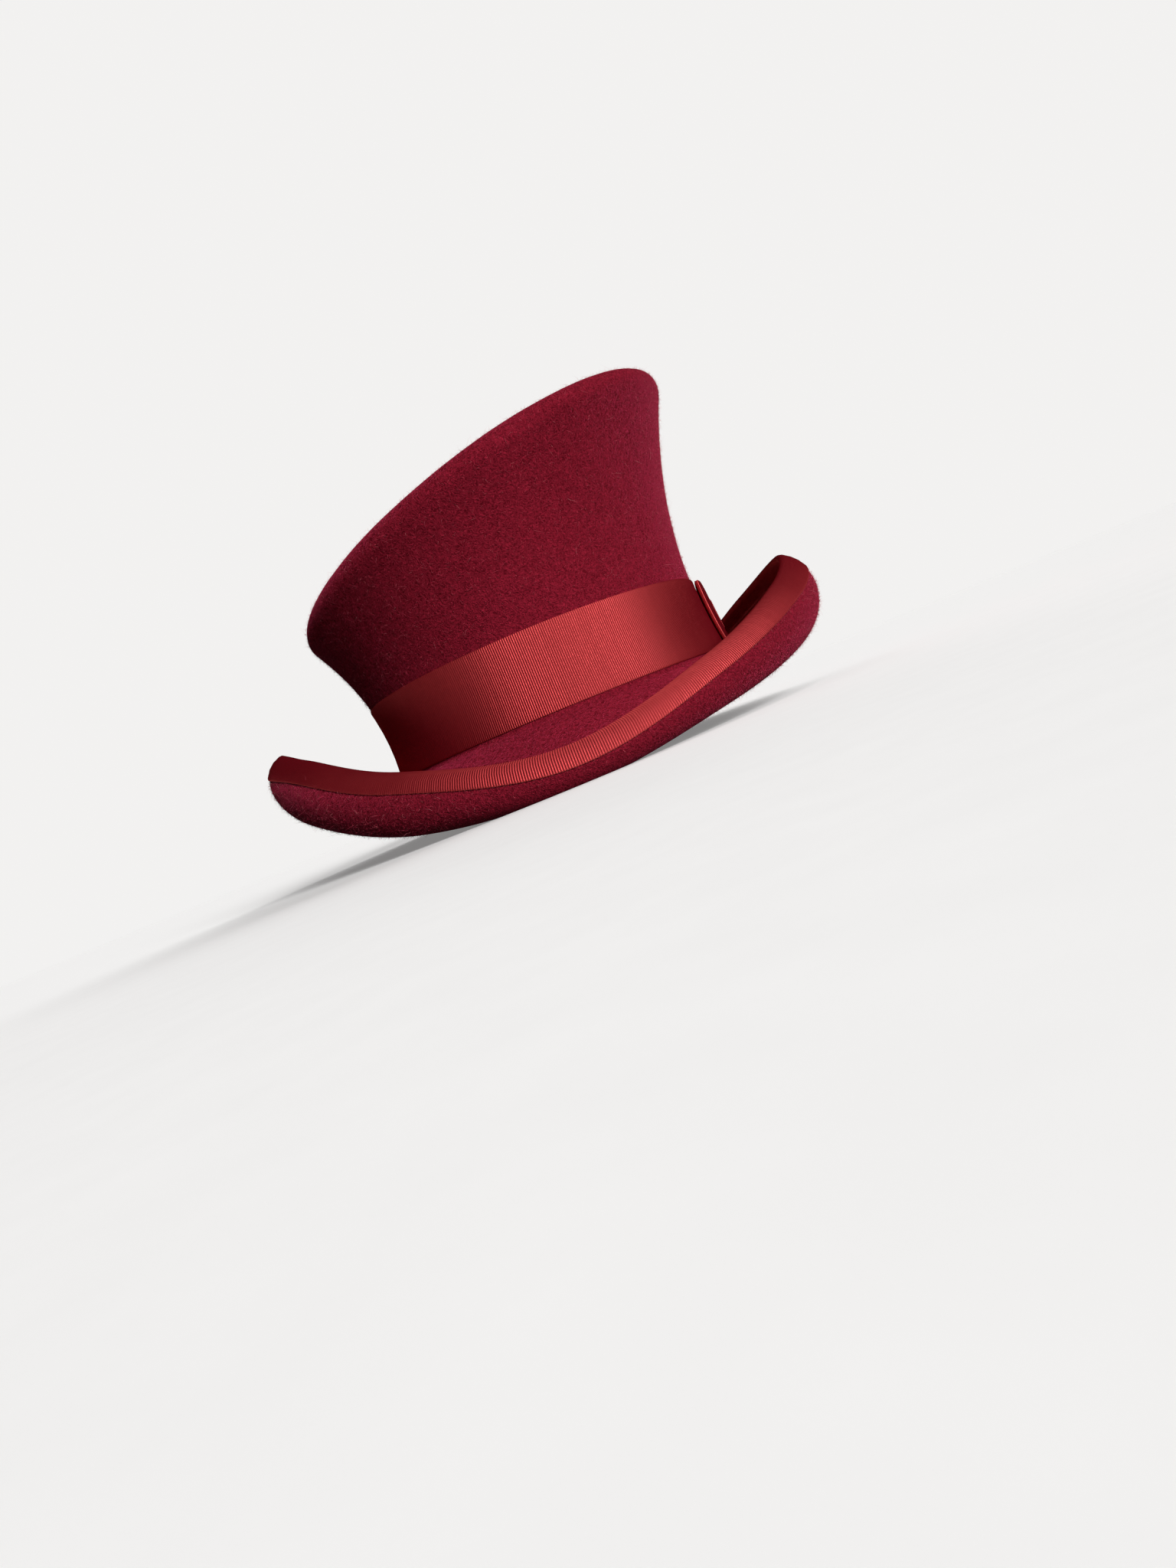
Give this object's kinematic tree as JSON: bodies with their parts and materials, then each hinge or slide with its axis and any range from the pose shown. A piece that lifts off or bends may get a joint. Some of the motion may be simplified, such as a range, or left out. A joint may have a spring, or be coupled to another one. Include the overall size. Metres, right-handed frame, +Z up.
{
  "type": "slanted felt top hat",
  "caption": "Burgundy felt top hat with a flared, slanted flat-topped crown, a brim rolled up all round, a grosgrain band, a bound edge and a flat side bow.",
  "frame": {"origin": "on the surface that the hat rests on, under the middle of its bounding box", "axes": "+Z up, -Y towards the wearer's front, +X towards the wearer's left, which is the tall side with the bow"},
  "size_m": [0.2826, 0.3058, 0.1635],
  "materials": {
    "felt": "brushed wool felt, burgundy",
    "ribbon": "ribbed grosgrain, crimson"
  },
  "bodies": {
    "root": {"crown": "felt", "brim": "felt", "brim_binding": "ribbon", "hat_band": "ribbon", "bow_loops": "ribbon", "bow_knot": "ribbon"}
  },
  "joints": []
}
